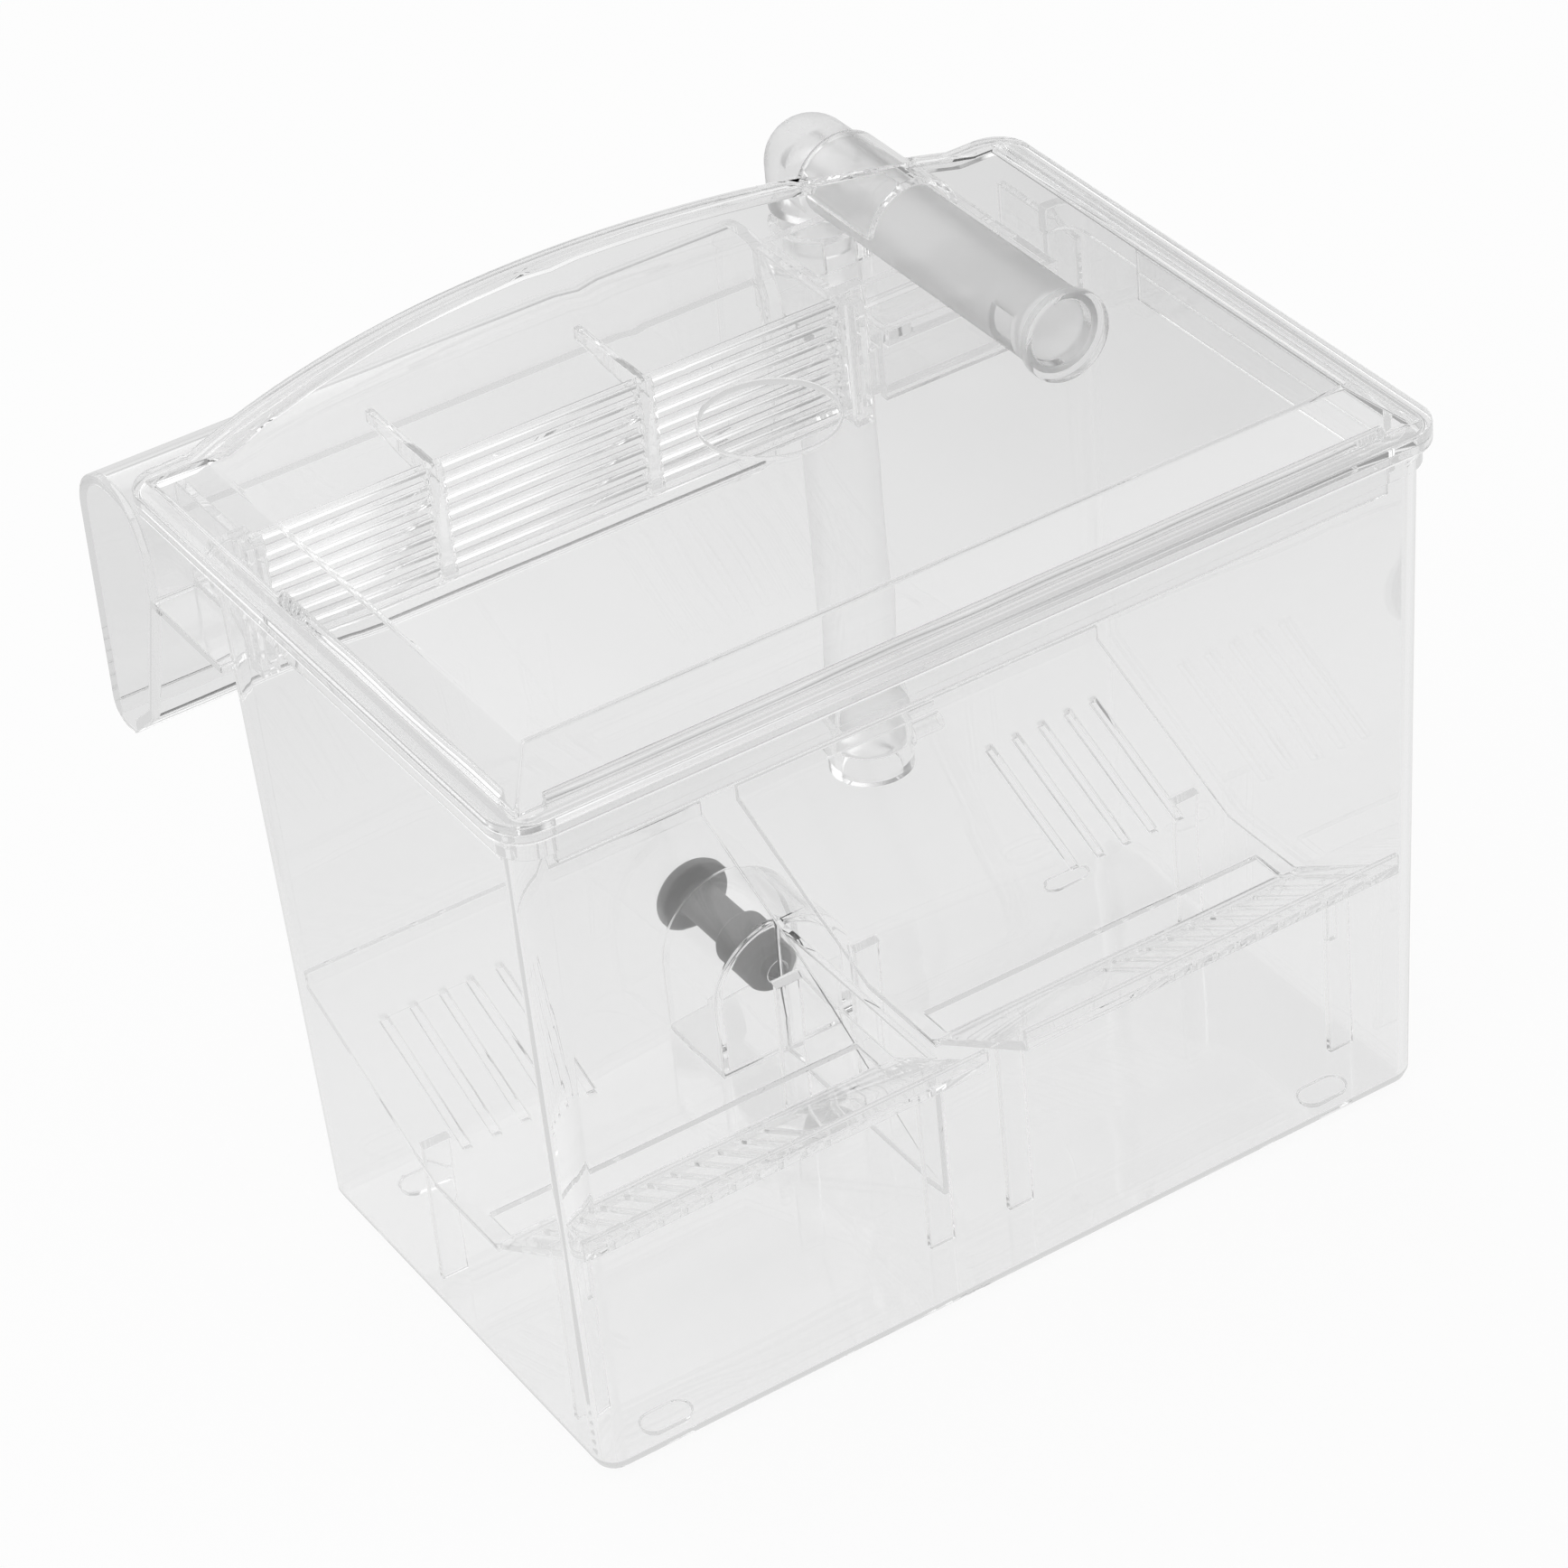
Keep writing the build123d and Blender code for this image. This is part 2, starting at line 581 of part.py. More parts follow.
def make_trap():
    """Right-hand V-shaped breeding trap: slotted shelves, a slit between them and four legs."""
    t = trap_skin
    reach = tub_half_depth(trap_top) - tub_wall - trap_clearance
    rear, front = tub_centre_y + reach, tub_centre_y - reach
    rear_low, front_low = rear - trap_rear_run, front + trap_front_run
    slit_rear = front_low + trap_slit
    lip = trap_top + trap_lip
    rear_shelf = [(rear, lip), (rear, trap_top - t), (rear_low, trap_floor - t),
                  (slit_rear, trap_floor - t), (slit_rear, trap_floor), (rear_low, trap_floor),
                  (rear - t, trap_top), (rear - t, lip)]
    front_shelf = [(front, lip), (front, trap_top - t), (front_low, trap_floor - t),
                   (front_low, trap_floor), (front + t, trap_top), (front + t, lip)]
    outer = tub_half_width(trap_floor) - tub_wall - trap_clearance
    inner = trap_gap / 2
    trap = extrude_x(rear_shelf, inner, outer) + extrude_x(front_shelf, inner, outer)
    ends = ((inner, inner + trap_leg_inset), (outer - trap_tie, outer - trap_leg_inset))
    for tie_x, edge in ends:
        trap += box_between(tie_x, tie_x + trap_tie, front_low - t, slit_rear + t,
                            trap_floor - t, trap_floor)
        side = 1 if edge < (inner + outer) / 2 else -1
        leg_x = edge + side * trap_leg_width / 2
        for y, run, drop in ((rear - trap_rear_leg_run, trap_rear_run, trap_rear_leg_run),
                             (front + trap_front_leg_run, trap_front_run, trap_front_leg_run)):
            top = trap_top - (trap_top - trap_floor) * drop / run - t / 2
            trap += box_between(leg_x - trap_leg_width / 2, leg_x + trap_leg_width / 2,
                                y - t / 2, y + t / 2, tub_floor, top)
    low, high = trap_floor - 2 * t, trap_top + t
    for i in range(rear_slots):
        x = outer - rear_slot_start - rear_slot_pitch * i
        y = rear_low + rear_slot_setback
        trap -= box_between(x - slot_width / 2, x + slot_width / 2, y, y + rear_slot_length,
                            low, high)
    for i in range(front_slots):
        x = outer - front_slot_start - front_slot_pitch * i
        y = front + t + front_slot_setback
        trap -= box_between(x - slot_width / 2, x + slot_width / 2, y, y + front_slot_length,
                            low, high)
    return trap


def make_levelling_pad():
    """Rubber pad that keeps the box upright against the tank's wall."""
    front = niche_front + niche_wall + pad_free_play
    barrel_end = front + pad_barrel_length
    neck_end = barrel_end + pad_neck_length
    pad = rod_y(0, front, barrel_end, pad_height, pad_barrel / 2)
    pad += rod_y(0, barrel_end, neck_end, pad_height, pad_neck / 2)
    pad += rod_y(0, neck_end, neck_end + pad_thickness, pad_height, pad_diameter / 2)
    bore_end = niche_front + niche_wall + peg_length + pad_free_play
    return pad - rod_y(0, front - 1, bore_end, pad_height, peg_diameter / 2 + fit_gap)


trap = make_trap()
pieces = {
    "tank_body": make_tank_body(),
    "lid": make_lid(),
    "overflow_hanger": make_overflow_hanger(),
    "drain_screen": make_drain_screen(),
    "pipe_cradle": make_pipe_cradle(),
    "riser_tube": make_riser_tube(),
    "riser_elbow": make_riser_elbow(),
    "outlet_pipe": make_outlet_pipe(),
    "outlet_cap": make_outlet_cap(),
    "air_collar": make_air_collar(),
    "trap_right": trap,
    "trap_left": mirror(trap, about=Plane.YZ),
    "levelling_pad": make_levelling_pad(),
}

os.makedirs("parts", exist_ok=True)
place = Pos(0, -overall_depth / 2, foot_height)
for name, piece in pieces.items():
    export_step(place * piece, f"parts/{name}.step")
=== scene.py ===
# %% [markdown]
# A hang-on fish breeding box in clear moulded plastic, photographed on white from above and to
# the left. Nearly everything is see-through, so the looks come from three things: edges with
# small moulded radii, a plastic that bends light and darkens it a little at each wall, and a
# plain bright studio for the walls to show.

# %% Load the frame
import bpy
import bmesh
import json
import math
from mathutils import Matrix, Vector


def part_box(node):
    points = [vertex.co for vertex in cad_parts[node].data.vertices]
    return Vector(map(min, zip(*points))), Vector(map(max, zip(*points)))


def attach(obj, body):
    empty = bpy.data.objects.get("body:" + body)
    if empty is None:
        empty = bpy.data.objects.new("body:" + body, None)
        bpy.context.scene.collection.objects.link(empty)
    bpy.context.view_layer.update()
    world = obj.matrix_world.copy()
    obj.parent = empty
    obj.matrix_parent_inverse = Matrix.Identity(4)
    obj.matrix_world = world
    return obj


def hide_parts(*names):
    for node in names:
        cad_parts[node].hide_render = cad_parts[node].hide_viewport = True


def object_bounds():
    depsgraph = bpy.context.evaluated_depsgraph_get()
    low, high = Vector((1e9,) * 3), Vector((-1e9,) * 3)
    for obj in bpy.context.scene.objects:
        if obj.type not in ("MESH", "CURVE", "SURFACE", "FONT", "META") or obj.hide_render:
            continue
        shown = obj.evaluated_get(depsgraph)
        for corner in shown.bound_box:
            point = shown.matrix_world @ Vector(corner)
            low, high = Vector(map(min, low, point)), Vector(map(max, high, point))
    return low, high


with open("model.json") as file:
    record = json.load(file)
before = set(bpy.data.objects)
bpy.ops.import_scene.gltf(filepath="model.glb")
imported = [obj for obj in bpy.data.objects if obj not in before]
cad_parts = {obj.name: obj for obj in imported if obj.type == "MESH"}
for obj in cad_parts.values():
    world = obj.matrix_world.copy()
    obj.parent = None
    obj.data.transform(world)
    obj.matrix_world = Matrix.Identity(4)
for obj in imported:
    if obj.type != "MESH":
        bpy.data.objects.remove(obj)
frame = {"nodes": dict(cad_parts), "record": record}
cad_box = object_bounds()
nodes = frame["nodes"]
MM = 0.001

# %% [markdown]
# Moulded plastic is never quite flat: the cooling wall draws in and leaves long soft waves, and
# polished steel leaves a faint haze. One node group gives every clear wall both, with its own
# sizes: a slow ripple for the normal and a fine, weak mottling for the roughness.

# %% Shader group for moulded walls
MOTTLE_SCALE = 900.0


def moulded_wall_group():
    """Node group: ripple height and roughness of a polished moulded wall."""
    group = bpy.data.node_groups.new("moulded_wall", "ShaderNodeTree")
    face = group.interface
    for name, value in (("Ripple Scale", 40.0), ("Ripple Depth", 0.3),
                        ("Haze", 0.02), ("Haze Spread", 0.02)):
        socket = face.new_socket(name, in_out="INPUT", socket_type="NodeSocketFloat")
        socket.default_value = value
    face.new_socket("Height", in_out="OUTPUT", socket_type="NodeSocketFloat")
    face.new_socket("Roughness", in_out="OUTPUT", socket_type="NodeSocketFloat")
    add, link = group.nodes.new, group.links.new
    sizes = add("NodeGroupInput")
    place = add("ShaderNodeTexCoord")
    wave = add("ShaderNodeTexNoise")
    wave.inputs["Detail"].default_value = 0.0
    link(place.outputs["Object"], wave.inputs["Vector"])
    link(sizes.outputs["Ripple Scale"], wave.inputs["Scale"])
    deep = add("ShaderNodeMath")
    deep.operation = "MULTIPLY"
    link(wave.outputs["Fac"], deep.inputs[0])
    link(sizes.outputs["Ripple Depth"], deep.inputs[1])
    mottle = add("ShaderNodeTexNoise")
    mottle.inputs["Scale"].default_value = MOTTLE_SCALE
    mottle.inputs["Detail"].default_value = 0.0
    link(place.outputs["Object"], mottle.inputs["Vector"])
    spread = add("ShaderNodeMath")
    spread.operation = "MULTIPLY_ADD"
    link(mottle.outputs["Fac"], spread.inputs[0])
    link(sizes.outputs["Haze Spread"], spread.inputs[1])
    link(sizes.outputs["Haze"], spread.inputs[2])
    out = add("NodeGroupOutput")
    link(deep.outputs[0], out.inputs["Height"])
    link(spread.outputs[0], out.inputs["Roughness"])
    return group


moulded_wall = moulded_wall_group()
print("group:", moulded_wall.name, [s.name for s in moulded_wall.interface.items_tree])

# %% [markdown]
# The clear plastic is one Principled shader with full transmission. Its base colour is just
# under white, so that each wall takes a little of the light. Light that runs on inside a wall,
# as in a light guide, would need hundreds of bounces to come out again. After a set number of
# them the ray is given the pale grey that it would bring home, and no edge turns black.
#
# The tubes are the same plastic with a rough surface, which scatters the light and hides what is
# behind them. Their index is set low, far under a real plastic's. A rough wall that bends light
# less lets more of the white room through, and that stands in for their milky look.

# %% Clear and frosted plastic
LAST_BOUNCE = 13
LOST_LIGHT = 0.66
RIPPLE_HEIGHT = 0.4 * MM
ACRYLIC_INDEX = 1.49


def plastic(name, tint, haze=0.0, spread=0.003, ripple=0.3, ior=ACRYLIC_INDEX):
    """Clear or frosted plastic with moulded ripple and haze."""
    mat = bpy.data.materials.new(name)
    mat.use_nodes = True
    tree = mat.node_tree
    shader = tree.nodes["Principled BSDF"]
    shader.inputs["Base Color"].default_value = (tint, tint, tint, 1)
    shader.inputs["Transmission Weight"].default_value = 1.0
    shader.inputs["IOR"].default_value = ior
    wall = tree.nodes.new("ShaderNodeGroup")
    wall.node_tree = moulded_wall
    for key, value in (("Ripple Depth", ripple), ("Haze", haze), ("Haze Spread", spread)):
        wall.inputs[key].default_value = value
    bump = tree.nodes.new("ShaderNodeBump")
    bump.inputs["Distance"].default_value = RIPPLE_HEIGHT
    tree.links.new(wall.outputs["Height"], bump.inputs["Height"])
    tree.links.new(bump.outputs["Normal"], shader.inputs["Normal"])
    tree.links.new(wall.outputs["Roughness"], shader.inputs["Roughness"])
    path = tree.nodes.new("ShaderNodeLightPath")
    deep = tree.nodes.new("ShaderNodeMath")
    deep.operation = "GREATER_THAN"
    deep.inputs[1].default_value = LAST_BOUNCE
    tree.links.new(path.outputs["Ray Depth"], deep.inputs[0])
    lost = tree.nodes.new("ShaderNodeEmission")
    lost.inputs["Color"].default_value = (LOST_LIGHT, LOST_LIGHT, LOST_LIGHT, 1)
    share = tree.nodes.new("ShaderNodeMixShader")
    tree.links.new(deep.outputs[0], share.inputs["Fac"])
    tree.links.new(shader.outputs[0], share.inputs[1])
    tree.links.new(lost.outputs[0], share.inputs[2])
    tree.links.new(share.outputs[0], tree.nodes["Material Output"].inputs["Surface"])
    return mat


finishes = {
    "tub_clear": plastic("tub_clear", 0.99),
    "lid_clear": plastic("lid_clear", 0.985),
    "hanger_clear": plastic("hanger_clear", 0.985),
    "screen_clear": plastic("screen_clear", 0.985, ripple=0.5),
    "cradle_clear": plastic("cradle_clear", 0.985),
    "cap_clear": plastic("cap_clear", 0.99, haze=0.14, ior=1.16),
    "collar_clear": plastic("collar_clear", 0.98),
    "trap_clear": plastic("trap_clear", 0.99, ior=1.38),
    "tube_frosted": plastic("tube_frosted", 0.99, haze=0.30, spread=0.06, ior=1.12),
    "elbow_frosted": plastic("elbow_frosted", 0.99, haze=0.26, spread=0.06, ior=1.16),
    "pipe_frosted": plastic("pipe_frosted", 0.99, haze=0.30, spread=0.06, ior=1.16),
}
print("finishes:", sorted(finishes))

# %% [markdown]
# The levelling pad is soft grey rubber: no transmission, and a dull surface whose fine grain
# shows both as a slight change of tone and as a bump.

# %% Rubber
GRAIN_SCALE, GRAIN_DETAIL = 1400.0, 3.0
GRAIN_HEIGHT, GRAIN_STRENGTH = 0.2 * MM, 0.3
GRAIN_DARK, GRAIN_LIGHT = (0.88, 0.88, 0.89), (1.08, 1.08, 1.08)
RUBBER_ROUGHNESS = 0.7


def rubber(name, shade):
    """Dull grey rubber with a fine grain."""
    mat = bpy.data.materials.new(name)
    mat.use_nodes = True
    tree = mat.node_tree
    shader = tree.nodes["Principled BSDF"]
    place = tree.nodes.new("ShaderNodeTexCoord")
    grain = tree.nodes.new("ShaderNodeTexNoise")
    grain.inputs["Scale"].default_value = GRAIN_SCALE
    grain.inputs["Detail"].default_value = GRAIN_DETAIL
    tree.links.new(place.outputs["Object"], grain.inputs["Vector"])
    tone = tree.nodes.new("ShaderNodeValToRGB")
    for stop, tint in zip(tone.color_ramp.elements, (GRAIN_DARK, GRAIN_LIGHT)):
        stop.color = [shade * part for part in tint] + [1]
    tree.links.new(grain.outputs["Fac"], tone.inputs["Fac"])
    tree.links.new(tone.outputs["Color"], shader.inputs["Base Color"])
    bump = tree.nodes.new("ShaderNodeBump")
    bump.inputs["Strength"].default_value = GRAIN_STRENGTH
    bump.inputs["Distance"].default_value = GRAIN_HEIGHT
    tree.links.new(grain.outputs["Fac"], bump.inputs["Height"])
    tree.links.new(bump.outputs["Normal"], shader.inputs["Normal"])
    shader.inputs["Roughness"].default_value = RUBBER_ROUGHNESS
    return mat


finishes["pad_rubber"] = rubber("pad_rubber", 0.36)
print("finishes:", len(finishes))

# %% [markdown]
# A moulded edge is never quite sharp. Its small rounding is what makes clear plastic readable:
# each edge catches one bright line and one dark one. A bevel by angle does it for a whole piece
# at once. Smooth shading alone would then make the flat walls look swollen, so the normals are
# weighted by area, and the large faces stay flat.

# %% Tools: rounding and shading
SHARP_ANGLE = math.radians(32)


def baked(piece):
    """Replaces a piece's modifiers by the mesh that they make."""
    graph = bpy.context.evaluated_depsgraph_get()
    shown = bpy.data.meshes.new_from_object(piece.evaluated_get(graph))
    piece.modifiers.clear()
    piece.data = shown


def rounded(piece, radius, segments=2):
    """Rounds every edge sharper than the angle, by a radius in millimetres."""
    bevel = piece.modifiers.new("rounding", "BEVEL")
    bevel.width = radius * MM
    bevel.segments = segments
    bevel.limit_method = "ANGLE"
    bevel.angle_limit = SHARP_ANGLE
    bevel.use_clamp_overlap = False
    baked(piece)


def evened(piece, keep_sharp=False):
    """Smooth shading in which large flat faces stay flat."""
    piece.data.shade_smooth()
    normals = piece.modifiers.new("flat faces stay flat", "WEIGHTED_NORMAL")
    normals.mode = "FACE_AREA"
    normals.weight = 100
    normals.keep_sharp = keep_sharp
    baked(piece)


print("edges sharper than", round(math.degrees(SHARP_ANGLE)), "degrees are rounded")

# %% [markdown]
# Every rigid piece is a copy of its CAD node, welded and cleaned of the flat triangles. Two
# clear pieces that touch would share one face, and the renderer can't tell which plastic the
# light is in there. So each copy is drawn in by half an air film, as real pieces have between
# them. A finished piece then gets its finish, its body and the node that it stands for.

# %% Tools: copy a node and settle the piece
body_of_node = {n: b for b, ns in frame["record"]["behaviour"]["bodies"].items() for n in ns}
slot_of_node = {s["node"]: s["material_slot"] for s in frame["record"]["subparts"]}
AIR_FILM = 0.08 * MM
WELD_DISTANCE = 0.002 * MM
FLAT_ANGLE = math.radians(0.6)


def settled(piece, node):
    """Gives a finished piece its finish, its body and its node's place."""
    piece.data.materials.clear()
    piece.data.materials.append(finishes[slot_of_node[node]])
    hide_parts(node)
    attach(piece, body_of_node[node])
    print(piece.name, "faces", len(piece.data.polygons))


def moulded(node, radius):
    """Copy of a CAD node, drawn in by half the air film, with rounded edges."""
    mesh = nodes[node].data.copy()
    mesh.name = node + "_moulded"
    mesh.materials.clear()
    bm = bmesh.new()
    bm.from_mesh(mesh)
    bmesh.ops.remove_doubles(bm, verts=bm.verts, dist=WELD_DISTANCE)
    bmesh.ops.dissolve_limit(bm, angle_limit=FLAT_ANGLE, verts=bm.verts, edges=bm.edges)
    bm.normal_update()
    moves = [(v, v.normal * (AIR_FILM / 2 * v.calc_shell_factor())) for v in bm.verts]
    for vert, move in moves:
        vert.co -= move
    bm.to_mesh(mesh)
    bm.free()
    piece = bpy.data.objects.new(node + "_moulded", mesh)
    bpy.context.scene.collection.objects.link(piece)
    rounded(piece, radius)
    return piece


print("bodies:", sorted(set(body_of_node.values())))

# %% [markdown]
# The radius differs from piece to piece. It stays well under the thinnest wall nearby, because a
# rounding that meets its neighbour folds the mesh, and a folded mesh turns the plastic black.

# %% Rounded copies of the CAD nodes
rounding = {
    "tank_body": 0.4, "overflow_hanger": 0.4, "pipe_cradle": 0.15, "riser_tube": 0.4,
    "riser_elbow": 0.12, "outlet_pipe": 0.4, "outlet_cap": 0.5, "air_collar": 0.08,
    "trap_right": 0.35, "trap_left": 0.35, "levelling_pad": 0.9,
}
for node, radius in rounding.items():
    piece = moulded(node, radius)
    evened(piece)
    settled(piece, node)

# %% [markdown]
# The lid's flat panel doesn't simply turn into its bevel. A tool mark runs along the fold: a
# step of half a millimetre, which draws the thin line that frames the panel. The step is cut
# after the edges are rounded, because it is finer than they are, and its rims are kept sharp, so
# that the smooth shading around them doesn't wash it out.

# %% Lid
LID_ROUNDING = 0.45
FOLD_WIDTH, FOLD_DEPTH = 0.18 * MM, 0.50 * MM
LEVEL_NORMAL = 0.999
TOP_BAND = 0.01 * MM


def fold_step(mesh, width, depth):
    """Sinks the flat top of a mesh by a small step with a sloping, sharp-edged rim."""
    bm = bmesh.new()
    bm.from_mesh(mesh)
    for edge in bm.edges:
        edge.smooth = True
    top = max(v.co.z for v in bm.verts)
    flat = [f for f in bm.faces
            if f.normal.z > LEVEL_NORMAL and all(top - v.co.z < TOP_BAND for v in f.verts)]
    slope = set(bmesh.ops.inset_region(bm, faces=flat, thickness=width, depth=-depth,
                                       use_even_offset=True)["faces"])
    for edge in {e for f in slope for e in f.edges}:
        edge.smooth = slope.issuperset(edge.link_faces)
    bm.to_mesh(mesh)
    bm.free()
    return len(flat)


lid = moulded("lid", LID_ROUNDING)
print("flat faces sunk:", fold_step(lid.data, FOLD_WIDTH, FOLD_DEPTH))
evened(lid, keep_sharp=True)
settled(lid, "lid")

# %% [markdown]
# The drain screen is a comb: eight level slats between four posts, and a fin on each inner post
# that reaches out over the spillway. The slats are one rounded bar, repeated by Geometry Nodes
# along a line of points. The node tree's inputs are the comb's own sizes: how many slats there
# are and how far apart they lie. Posts, fins and slats are then fused into one moulding.

# %% Drain screen: one slat
SLATS, SLAT_HEIGHT, SCREEN_DEPTH = 8, 1.3 * MM, 2.6 * MM
POST, INNER_POST, INNER_PITCH = 3.0 * MM, 3.6 * MM, 47.0 * MM
FIN_HEIGHT, FIN_THICKNESS = 6.0 * MM, 1.8 * MM
SLAT_ROUNDING, POST_ROUNDING, SCREEN_SEGMENTS = 0.45, 0.5, 3
screen_low, screen_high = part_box("drain_screen")
slack = AIR_FILM / 2


def block(bm, low, high):
    """Adds a closed block between two corners."""
    made = bmesh.ops.create_cube(bm, size=1.0)["verts"]
    middle = (Vector(low) + Vector(high)) / 2
    size = Vector(high) - Vector(low)
    for vert in made:
        vert.co = Vector(a * b for a, b in zip(vert.co, size)) + middle
    return made


def new_piece(name, bm):
    """Object from a bmesh."""
    mesh = bpy.data.meshes.new(name)
    bmesh.ops.recalc_face_normals(bm, faces=bm.faces)
    bm.to_mesh(mesh)
    bm.free()
    piece = bpy.data.objects.new(name, mesh)
    bpy.context.scene.collection.objects.link(piece)
    return piece


bm = bmesh.new()
block(bm, (screen_low[0] + POST / 2, screen_low[1] + slack, screen_low[2] + slack),
      (screen_high[0] - POST / 2, screen_low[1] + SCREEN_DEPTH - slack,
       screen_low[2] + SLAT_HEIGHT - slack))
slats = new_piece("screen_slats", bm)
rounded(slats, SLAT_ROUNDING, SCREEN_SEGMENTS)
print("one slat:", len(slats.data.polygons), "faces")

# %% [markdown]
# The tree is a short line of points with the slat on each. Its pitch follows from the screen's
# height and the number of slats, so the top slat ends level with the posts.

# %% Drain screen: repeat it
def repeat_tree():
    """Geometry node tree that repeats its mesh upwards."""
    tree = bpy.data.node_groups.new("repeat_upwards", "GeometryNodeTree")
    face = tree.interface
    face.new_socket("Geometry", in_out="INPUT", socket_type="NodeSocketGeometry")
    face.new_socket("Count", in_out="INPUT", socket_type="NodeSocketInt")
    face.new_socket("Pitch", in_out="INPUT", socket_type="NodeSocketFloat")
    face.new_socket("Material", in_out="INPUT", socket_type="NodeSocketMaterial")
    face.new_socket("Geometry", in_out="OUTPUT", socket_type="NodeSocketGeometry")
    add, link = tree.nodes.new, tree.links.new
    sizes = add("NodeGroupInput")
    step = add("ShaderNodeCombineXYZ")
    link(sizes.outputs["Pitch"], step.inputs["Z"])
    line = add("GeometryNodeMeshLine")
    link(sizes.outputs["Count"], line.inputs["Count"])
    link(step.outputs[0], line.inputs["Offset"])
    put = add("GeometryNodeInstanceOnPoints")
    link(line.outputs[0], put.inputs["Points"])
    link(sizes.outputs["Geometry"], put.inputs["Instance"])
    real = add("GeometryNodeRealizeInstances")
    link(put.outputs[0], real.inputs[0])
    paint = add("GeometryNodeSetMaterial")
    link(real.outputs[0], paint.inputs["Geometry"])
    link(sizes.outputs["Material"], paint.inputs["Material"])
    out = add("NodeGroupOutput")
    link(paint.outputs[0], out.inputs[0])
    return tree


screen_height = screen_high[2] - screen_low[2]
comb = slats.modifiers.new("repeat", "NODES")
comb.node_group = repeat_tree()
sockets = {item.name: item.identifier for item in comb.node_group.interface.items_tree
           if item.in_out == "INPUT"}
comb[sockets["Count"]] = SLATS
comb[sockets["Pitch"]] = (screen_height - SLAT_HEIGHT) / (SLATS - 1)
comb[sockets["Material"]] = finishes["screen_clear"]
baked(slats)
print("slats:", SLATS, "faces", len(slats.data.polygons))

# %% [markdown]
# The posts stand across the slats. Each fin is a block whose outer lower edge is raised, so that
# it tapers away from its post.

# %% Drain screen: posts and fins
bm = bmesh.new()
inner = [screen_high[0] - INNER_PITCH * k for k in (1, 2)]
posts = [(screen_low[0] + POST / 2, POST), (screen_high[0] - POST / 2, POST)]
for x, width in posts + [(x, INNER_POST) for x in inner]:
    block(bm, (x - width / 2 + slack, screen_low[1] + slack / 2, screen_low[2] + slack / 2),
          (x + width / 2 - slack, screen_low[1] + SCREEN_DEPTH - slack / 2,
           screen_high[2] - slack / 2))
for x in inner:
    fin = block(bm, (x - FIN_THICKNESS / 2, screen_low[1] + SCREEN_DEPTH / 2,
                     screen_high[2] - FIN_HEIGHT),
                (x + FIN_THICKNESS / 2, screen_high[1] - slack, screen_high[2] - slack))
    for vert in fin:
        if vert.co.y > screen_low[1] + SCREEN_DEPTH and vert.co.z < screen_high[2] - 2 * slack:
            vert.co.z += FIN_HEIGHT / 2
screen = new_piece("screen_frame", bm)
rounded(screen, POST_ROUNDING, SCREEN_SEGMENTS)
fuse = screen.modifiers.new("fuse", "BOOLEAN")
fuse.operation, fuse.solver, fuse.use_self = "UNION", "EXACT", True
fuse.object = slats
baked(screen)
bpy.data.objects.remove(slats)
evened(screen)
settled(screen, "drain_screen")

# %% [markdown]
# A clear box has hardly any colour of its own: it shows the room. Each wall throws back about a
# twelfth of the light, so a wall with white behind it and a dimmer room in front of it looks
# pale grey, two walls a little greyer. The studio is built for that. The backdrop and the floor
# are bright behind and under the box, and the camera's side of the room is dimmer. Where the
# camera looks at the backdrop or the floor directly, both are plain white.

# %% Tools for the room
def room_brightness(tree, vector, towards, start, stop, dim, bright):
    """Adds nodes: a soft step from dim to bright along one direction."""
    along = tree.nodes.new("ShaderNodeVectorMath")
    along.operation = "DOT_PRODUCT"
    along.inputs[1].default_value = towards
    tree.links.new(vector, along.inputs[0])
    step = tree.nodes.new("ShaderNodeMapRange")
    step.interpolation_type = "LINEAR"
    for socket, value in (("From Min", start), ("From Max", stop), ("To Min", dim),
                          ("To Max", bright)):
        step.inputs[socket].default_value = value
    tree.links.new(along.outputs["Value"], step.inputs["Value"])
    return step.outputs["Result"]


def white_for_camera(tree, value):
    """Adds nodes: 1 for what the camera sees directly, the given value for every other ray."""
    path = tree.nodes.new("ShaderNodeLightPath")
    pick = tree.nodes.new("ShaderNodeMix")
    tree.links.new(path.outputs["Is Camera Ray"], pick.inputs["Factor"])
    tree.links.new(value, pick.inputs["A"])
    pick.inputs["B"].default_value = 1.0
    return pick.outputs["Result"]


# %% [markdown]
# The floor glows as the paper sweep of a product studio does when it is lit from all round. A
# small share of it is plain matt white, and that share carries the box's soft shadow. In front
# of the box it falls off towards the camera, so the upright walls have something dimmer to
# reflect, and behind it it falls off a little, as the sweep does where it turns up.

# %% Floor
FLOOR_REACH = 6.0
FLOOR_GAP = 0.2 * MM
FRONT_DIM, FLOOR_WHITE, REAR_SHARE = 0.30, 0.86, 0.88
FRONT_FADE, REAR_FADE = (-0.45, -0.10), (0.05, 0.25)
MATT_SHARE, PAPER_TINT = 0.06, 0.9
floor_mesh = bpy.data.meshes.new("floor")
floor_mesh.from_pydata([(x * FLOOR_REACH, y * FLOOR_REACH, 0)
                        for x, y in ((-1, -1), (1, -1), (1, 1), (-1, 1))], [], [(0, 1, 2, 3)])
floor = bpy.data.objects.new("floor", floor_mesh)
bpy.context.scene.collection.objects.link(floor)
floor.location.z = cad_box[0][2] - FLOOR_GAP
paper = bpy.data.materials.new("floor_white")
paper.use_nodes = True
tree = paper.node_tree
tree.nodes.remove(tree.nodes["Principled BSDF"])
place = tree.nodes.new("ShaderNodeTexCoord")
front = room_brightness(tree, place.outputs["Object"], (0.0, 1.0, 0.0), *FRONT_FADE,
                        FRONT_DIM, FLOOR_WHITE)
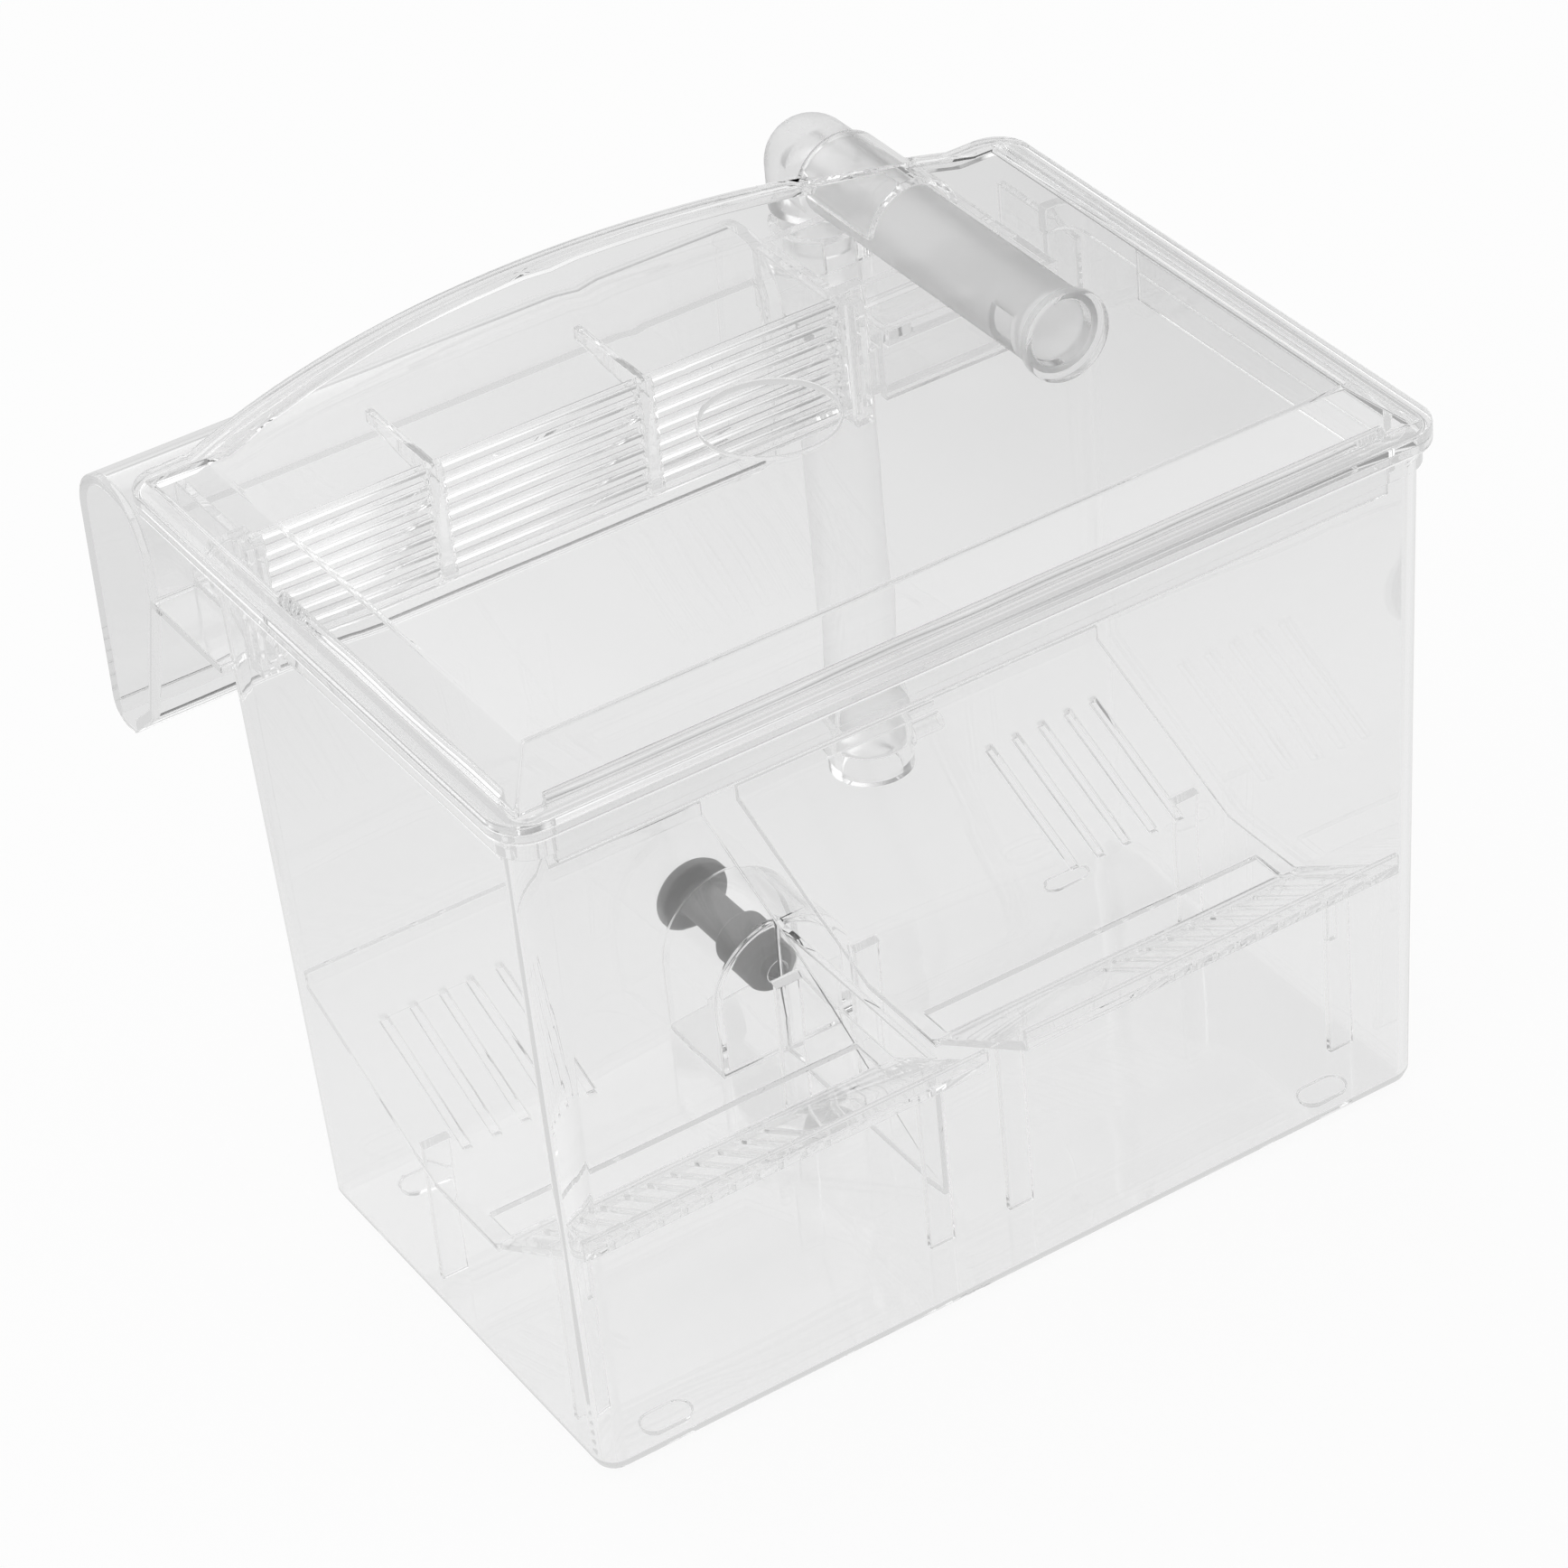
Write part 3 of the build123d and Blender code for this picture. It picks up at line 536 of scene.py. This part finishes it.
rear = room_brightness(tree, place.outputs["Object"], (0.0, 1.0, 0.0), *REAR_FADE,
                       1.0, REAR_SHARE)
both = tree.nodes.new("ShaderNodeMath")
both.operation = "MULTIPLY"
tree.links.new(front, both.inputs[0])
tree.links.new(rear, both.inputs[1])
glow = tree.nodes.new("ShaderNodeEmission")
tree.links.new(white_for_camera(tree, both.outputs[0]), glow.inputs["Strength"])
matt = tree.nodes.new("ShaderNodeBsdfDiffuse")
matt.inputs["Color"].default_value = (PAPER_TINT, PAPER_TINT, PAPER_TINT, 1)
share = tree.nodes.new("ShaderNodeMixShader")
share.inputs["Fac"].default_value = MATT_SHARE
tree.links.new(glow.outputs[0], share.inputs[1])
tree.links.new(matt.outputs[0], share.inputs[2])
tree.links.new(share.outputs[0], tree.nodes["Material Output"].inputs["Surface"])
floor_mesh.materials.append(paper)
print("floor at z", round(floor.location.z, 5))

# %% [markdown]
# The rest of the room is one ramp by height: pale up to just over the horizon, then a dimmer
# band, where the room shows between the backdrop and the lamps, and overhead the ceiling. The
# band is what the moulded edges throw back, and it draws their lines.
#
# In the band behind the box stands one wide round lamp with a soft rim. The camera sees it only
# in the lid and the level faces under it, which are brightest at their left end, where they
# throw back its middle.

# %% World
ROOM_LEVELS = ((0.0, 0.38), (0.54, 0.38), (0.62, 0.14), (0.80, 0.14), (0.90, 0.48), (1.0, 0.48))
ROOM_GAIN = 2.0
LAMP_AZIMUTH, LAMP_ELEVATION = math.radians(-2), math.radians(33)
LAMP_RIM, LAMP_CORE = math.cos(math.radians(34)), math.cos(math.radians(20))
LAMP_WHITE = 1.45
LAMP_TOWARDS = (math.sin(LAMP_AZIMUTH) * math.cos(LAMP_ELEVATION),
                math.cos(LAMP_AZIMUTH) * math.cos(LAMP_ELEVATION), math.sin(LAMP_ELEVATION))
world = bpy.data.worlds.new("studio")
bpy.context.scene.world = world
world.use_nodes = True
tree = world.node_tree
place = tree.nodes.new("ShaderNodeTexCoord")
height = room_brightness(tree, place.outputs["Generated"], (0.0, 0.0, 1.0), -1.0, 1.0, 0.0, 1.0)
ramp = tree.nodes.new("ShaderNodeValToRGB")
stops = ramp.color_ramp.elements
stops_at_first = len(stops)
for k, (where, level) in enumerate(ROOM_LEVELS):
    stop = stops[k] if k < stops_at_first else stops.new(where)
    stop.position = where
    stop.color = (level, level, level, 1)
tree.links.new(height, ramp.inputs["Fac"])
gain = tree.nodes.new("ShaderNodeMath")
gain.operation = "MULTIPLY"
gain.inputs[1].default_value = ROOM_GAIN
tree.links.new(ramp.outputs["Color"], gain.inputs[0])
rear_lamp = room_brightness(tree, place.outputs["Generated"], LAMP_TOWARDS, LAMP_RIM, LAMP_CORE,
                            0.0, LAMP_WHITE)
room = tree.nodes.new("ShaderNodeMath")
room.operation = "MAXIMUM"
tree.links.new(gain.outputs[0], room.inputs[0])
tree.links.new(rear_lamp, room.inputs[1])
tree.links.new(white_for_camera(tree, room.outputs[0]), tree.nodes["Background"].inputs["Strength"])
tree.nodes["Background"].inputs["Color"].default_value = (1, 1, 1, 1)
world.cycles.sampling_method = "NONE"
print("room levels:", [(w, round(v * ROOM_GAIN, 2)) for w, v in ROOM_LEVELS])

# %% [markdown]
# One soft lamp up at the camera's left draws the bright lines on the moulded edges, and shades
# the rubber pad. The world's ceiling lights the tops of the hood and the tubes.

# %% Lights
def softbox(name, centre, target, width, height, watts):
    """Large area lamp that looks at a point."""
    lamp = bpy.data.lights.new(name, "AREA")
    lamp.shape = "RECTANGLE"
    lamp.size, lamp.size_y = width, height
    lamp.energy = watts
    piece = bpy.data.objects.new(name, lamp)
    bpy.context.scene.collection.objects.link(piece)
    piece.location = centre
    piece.rotation_euler = (Vector(target) - Vector(centre)).to_track_quat("-Z", "Y").to_euler()
    return piece


key = softbox("key_light", centre=(-0.9, -0.35, 1.1), target=(0, 0, 0.08),
              width=0.35, height=0.6, watts=1.6)
print("lamp:", key.name, "watts", round(key.data.energy, 2))

# %% [markdown]
# The camera stands where the photograph was taken from. Its place and turn were worked out from
# the corners of the lid and the tub, and are written as real distances and angles.

# %% Camera
CAMERA_PLACE = Vector((-0.43827, -0.78532, 0.72260))
CAMERA_AZIMUTH, CAMERA_ELEVATION, CAMERA_ROLL = -30.43, 35.90, -5.20
FOCAL_PIXELS, FRAME_PIXELS = 6165.63, 1736.0
AXIS_PIXEL_X, AXIS_PIXEL_Y = 961.39, 864.03

az, el, roll = (math.radians(v) for v in (CAMERA_AZIMUTH, CAMERA_ELEVATION, CAMERA_ROLL))
forward = Vector((-math.sin(az) * math.cos(el), math.cos(az) * math.cos(el), -math.sin(el)))
right = Vector((math.cos(az), math.sin(az), 0))
down = forward.cross(right)
image_right = math.cos(roll) * right - math.sin(roll) * down
image_down = math.sin(roll) * right + math.cos(roll) * down
turn = Matrix((image_right, -image_down, -forward)).transposed()
lens = bpy.data.cameras.new("camera")
lens.sensor_width = 36.0
lens.lens = FOCAL_PIXELS / FRAME_PIXELS * lens.sensor_width
lens.shift_x = (FRAME_PIXELS / 2 - AXIS_PIXEL_X) / FRAME_PIXELS
lens.shift_y = (AXIS_PIXEL_Y - FRAME_PIXELS / 2) / FRAME_PIXELS
lens.clip_start, lens.clip_end = 0.05, 50
camera = bpy.data.objects.new("camera", lens)
bpy.context.scene.collection.objects.link(camera)
camera.matrix_world = Matrix.Translation(CAMERA_PLACE) @ turn.to_4x4()
bpy.context.scene.camera = camera
print("lens", round(lens.lens, 2), "shift", round(lens.shift_x, 4), round(lens.shift_y, 4))

# %% [markdown]
# Light crosses a dozen walls on its way through the box, so every kind of ray may bounce as often
# as the plastic allows before it counts the light as lost.

# %% Colour and light paths
MOST_BOUNCES = LAST_BOUNCE + 2
NOISE_LIMIT = 0.03
scene = bpy.context.scene
scene.view_settings.view_transform = "Standard"
scene.cycles.max_bounces = MOST_BOUNCES
scene.cycles.transmission_bounces = MOST_BOUNCES
scene.cycles.glossy_bounces = MOST_BOUNCES
scene.cycles.adaptive_threshold = NOISE_LIMIT
print("bounces:", MOST_BOUNCES)
